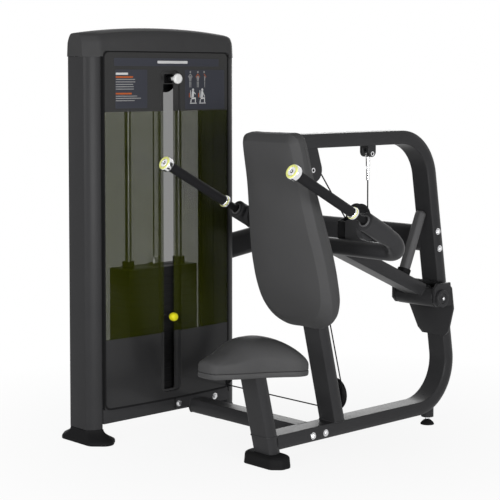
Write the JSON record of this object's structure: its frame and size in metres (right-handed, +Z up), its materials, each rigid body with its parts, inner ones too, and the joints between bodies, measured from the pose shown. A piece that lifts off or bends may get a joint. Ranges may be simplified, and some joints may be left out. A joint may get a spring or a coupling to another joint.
{
  "type": "seated dip machine",
  "caption": "Selectorised seated dip machine: weight stack tower with smoked panels, bent tube frame with seat and backrest, and a cable-loaded press arm with two grips.",
  "frame": {"origin": "on the floor under the middle of the bounding box", "axes": "+Z up, the seated user faces -Y, the weight tower stands on the -X side"},
  "size_m": [1.17, 1.2606, 1.513],
  "materials": {
    "frame_paint": "satin",
    "cover_paint": "matte",
    "acrylic": "smoked",
    "kick_paint": "satin",
    "rubber": "matte",
    "upholstery": "satin",
    "board": "matte",
    "chrome": "polished",
    "iron": "painted",
    "nylon": "matte",
    "yellow": "gloss",
    "white": "gloss",
    "cable": "nylon coated steel cable"
  },
  "bodies": {
    "frame": {"seat_post": "frame_paint", "seat_post_foot": "rubber", "front_base_beam": "frame_paint", "loop_frame": "frame_paint", "backrest_post": "frame_paint", "crossbeam": "frame_paint", "levelling_foot": "rubber", "tower_foot_front": "rubber", "tower_upright_front": "frame_paint", "tower_foot_rear": "rubber", "tower_upright_rear": "frame_paint", "plinth_beam": "frame_paint", "top_beam": "frame_paint", "tower_top_cover": "cover_paint", "front_panel": "acrylic", "front_kick_panel": "kick_paint", "front_header_panel": "kick_paint", "rear_panel": "acrylic", "slot_channel": "cover_paint", "guide_rod_front": "chrome", "stack_buffer_front": "rubber", "guide_rod_rear": "chrome", "stack_buffer_rear": "rubber", "resting_plates": "iron", "cable_front": "cable", "cable_fixed": "cable", "cable_stack": "cable", "anchor_clevis": "frame_paint", "cable_end_fitting": "chrome", "pivot_bracket": "frame_paint", "pivot_shaft": "frame_paint", "stop_tube": "frame_paint", "stop_bumper": "rubber", "upper_tie_beam": "frame_paint", "seat_board": "board", "seat_cushion": "upholstery", "backrest_board": "board", "backrest_cushion": "upholstery"},
    "press_arm": {"press_beam": "frame_paint", "arm_frame": "frame_paint", "knuckle_left": "frame_paint", "handle_bar_left": "chrome", "grip_left": "rubber", "knuckle_right": "frame_paint", "handle_bar_right": "chrome", "grip_right": "rubber"},
    "lifted_stack": {"head_plate": "iron", "upper_plates": "iron", "pinned_plate": "iron", "selector_stem": "chrome"},
    "selector_pin": {"selector_pin": "yellow"},
    "addon_knob": {"addon_knob": "white"},
    "movable_pulley": {"movable_pulley": "nylon"},
    "upper_pulley": {"upper_pulley": "nylon"},
    "lower_pulley": {"lower_pulley": "nylon"},
    "base_pulley": {"tower_base_pulley": "nylon"},
    "top_pulley_rear": {"tower_top_pulley_rear": "nylon"},
    "top_pulley_middle": {"tower_top_pulley_middle": "nylon"}
  },
  "joints": [
    {"name": "arm_press", "type": "hinge", "parent": "frame", "child": "press_arm", "pos_m": [0.238, 0.47169, 0.503], "axis": [1, 0, 0], "range_deg": [0, 13], "deforming": ["cable_front"]},
    {"name": "stack_lift", "type": "slide", "parent": "frame", "child": "lifted_stack", "axis": [0, 0, 1], "range_m": [0, 0.14], "deforming": ["cable_stack"]},
    {"name": "movable_pulley_spin", "type": "hinge", "parent": "press_arm", "child": "movable_pulley", "pos_m": [0.238, 0.13069, 0.817], "axis": [1, 0, 0], "range_deg": [0, 93]},
    {"name": "upper_pulley_spin", "type": "hinge", "parent": "frame", "child": "upper_pulley", "pos_m": [0.238, -0.12231, 1.005], "axis": [-1, 0, 0], "range_deg": [0, 216]},
    {"name": "lower_pulley_spin", "type": "hinge", "parent": "frame", "child": "lower_pulley", "pos_m": [0.196, 0.04269, 0.182], "axis": [0, -1, 0], "range_deg": [0, 146]},
    {"name": "base_pulley_spin", "type": "hinge", "parent": "frame", "child": "base_pulley", "pos_m": [-0.405, 0.04269, 0.177], "axis": [0, -1, 0], "range_deg": [0, 161]},
    {"name": "top_pulley_rear_spin", "type": "hinge", "parent": "frame", "child": "top_pulley_rear", "pos_m": [-0.455, -0.00731, 1.328], "axis": [-1, 0, 0], "range_deg": [0, 161]},
    {"name": "top_pulley_middle_spin", "type": "hinge", "parent": "frame", "child": "top_pulley_middle", "pos_m": [-0.455, -0.20831, 1.328], "axis": [-1, 0, 0], "range_deg": [0, 161]},
    {"name": "pin_pull", "type": "slide", "parent": "lifted_stack", "child": "selector_pin", "axis": [1, 0, 0], "range_m": [0, 0.09]},
    {"name": "addon_knob_pull", "type": "slide", "parent": "frame", "child": "addon_knob", "axis": [1, 0, 0], "range_m": [0, 0.012]}
  ],
  "couplings": [
    {"joint": "stack_lift", "follows": "arm_press", "m_per_rad": 0.60888},
    {"joint": "movable_pulley_spin", "follows": "arm_press", "ratio": 6.98},
    {"joint": "upper_pulley_spin", "follows": "arm_press", "ratio": 16.456},
    {"joint": "lower_pulley_spin", "follows": "arm_press", "ratio": 11.071},
    {"joint": "base_pulley_spin", "follows": "arm_press", "ratio": 12.178},
    {"joint": "top_pulley_rear_spin", "follows": "arm_press", "ratio": 12.178},
    {"joint": "top_pulley_middle_spin", "follows": "arm_press", "ratio": 12.178}
  ]
}
